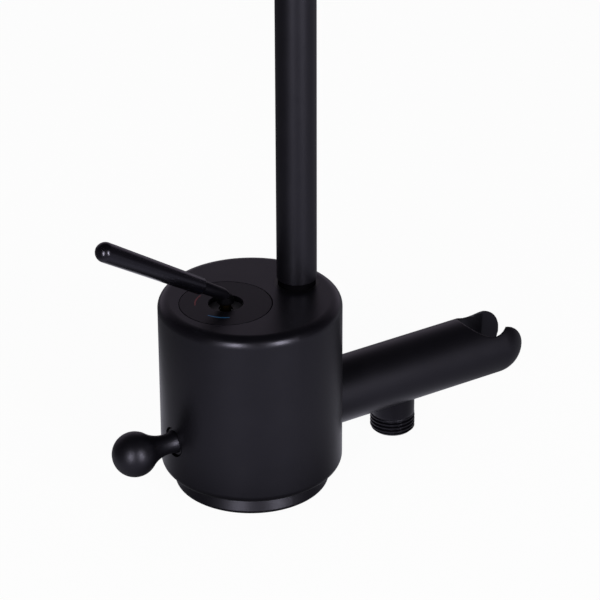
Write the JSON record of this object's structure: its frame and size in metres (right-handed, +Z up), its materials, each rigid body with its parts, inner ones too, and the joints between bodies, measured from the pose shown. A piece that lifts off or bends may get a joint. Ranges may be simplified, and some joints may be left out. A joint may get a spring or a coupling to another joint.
{
  "type": "bath mixer tap",
  "caption": "Round-bodied bath mixer tap with a pin lever, a swivel gooseneck spout, a pull diverter knob and a rear arm that holds a handset over a threaded hose outlet.",
  "frame": {"origin": "centre of the foot ring's bolt circle, in the plane the foot stands on", "axes": "+Z up along the body, -Y towards the user and the spout's outlet, +Y along the handset arm, +X to the user's right"},
  "size_m": [0.082, 0.3185, 0.3659],
  "materials": {
    "black_coat": "matt powder coat",
    "brass": "machined",
    "steel": "plain",
    "rubber": "matt",
    "black_plastic": "matt",
    "white_plastic": "satin",
    "ceramic": "lapped",
    "red_enamel": "satin",
    "blue_enamel": "satin"
  },
  "bodies": {
    "tap_body": {"body_shell": "black_coat", "foot_ring": "black_coat", "cover_disc": "black_coat", "handset_arm": "black_coat", "hose_outlet": "black_coat", "valve_block": "brass", "base_plate": "brass", "cartridge_nut": "brass", "diverter_bonnet": "brass", "arm_nipple": "brass", "foot_screws": "steel", "inlet_filters": "steel", "spout_snap_ring": "steel", "diverter_spring": "steel", "check_valve_spring": "steel", "foot_gasket": "rubber", "disc_o_ring": "rubber", "cartridge_seals": "rubber", "diverter_bonnet_seal": "rubber", "diverter_stem_seal": "rubber", "arm_seal": "rubber", "hose_outlet_seal": "rubber", "spout_guide_bush": "black_plastic", "cartridge_housing": "white_plastic", "cartridge_base": "white_plastic", "check_valve_body": "white_plastic", "fixed_ceramic_disc": "ceramic", "hot_mark": "red_enamel", "cold_mark": "blue_enamel"},
    "rotor": {"cartridge_rotor": "white_plastic", "spindle_pin": "steel"},
    "lever": {"lever_spindle": "brass", "lever_elbow": "black_coat", "lever_bar": "black_coat"},
    "mixing_disc": {"moving_ceramic_disc": "ceramic", "disc_carrier": "white_plastic"},
    "shield": {"stem_shield": "black_plastic"},
    "spout": {"spout_tube": "black_coat", "spout_adapter": "brass", "spout_o_rings": "rubber", "aerator_housing": "white_plastic", "aerator_insert": "white_plastic", "aerator_washer": "rubber"},
    "diverter": {"diverter_knob": "black_coat", "diverter_stem": "brass", "diverter_piston": "brass", "diverter_washers": "rubber"},
    "check_poppet": {"check_valve_poppet": "white_plastic"}
  },
  "joints": [
    {"name": "lever_turn", "type": "hinge", "parent": "tap_body", "child": "rotor", "pos_m": [0, -0.0125, 0.08], "axis": [0, 0, 1], "range_deg": [-45, 45]},
    {"name": "lever_lift", "type": "hinge", "parent": "rotor", "child": "lever", "pos_m": [0, -0.0125, 0.08], "axis": [-1, 0, 0], "range_deg": [0, 18]},
    {"name": "mixing_slide", "type": "slide", "parent": "rotor", "child": "mixing_disc", "axis": [0, -1, 0], "range_m": [0, 0.0045]},
    {"name": "shield_slide", "type": "slide", "parent": "rotor", "child": "shield", "axis": [0, 1, 0], "range_m": [0, 0.0028]},
    {"name": "spout_swivel", "type": "hinge", "parent": "tap_body", "child": "spout", "pos_m": [0, 0.0245, 0.1], "axis": [0, 0, 1], "range_deg": [-90, 90]},
    {"name": "diverter_pull", "type": "slide", "parent": "tap_body", "child": "diverter", "axis": [0, -1, 0], "range_m": [0, 0.007], "stiffness_N_per_m": 200, "springref_m": -0.02, "deforming": ["diverter_spring"]},
    {"name": "check_open", "type": "slide", "parent": "tap_body", "child": "check_poppet", "axis": [0, 0, -1], "range_m": [0, 0.0025], "stiffness_N_per_m": 100, "springref_m": -0.004, "deforming": ["check_valve_spring"]}
  ],
  "couplings": [
    {"joint": "mixing_slide", "follows": "lever_lift", "m_per_rad": 0.01382},
    {"joint": "shield_slide", "follows": "lever_lift", "m_per_rad": 0.00855}
  ]
}
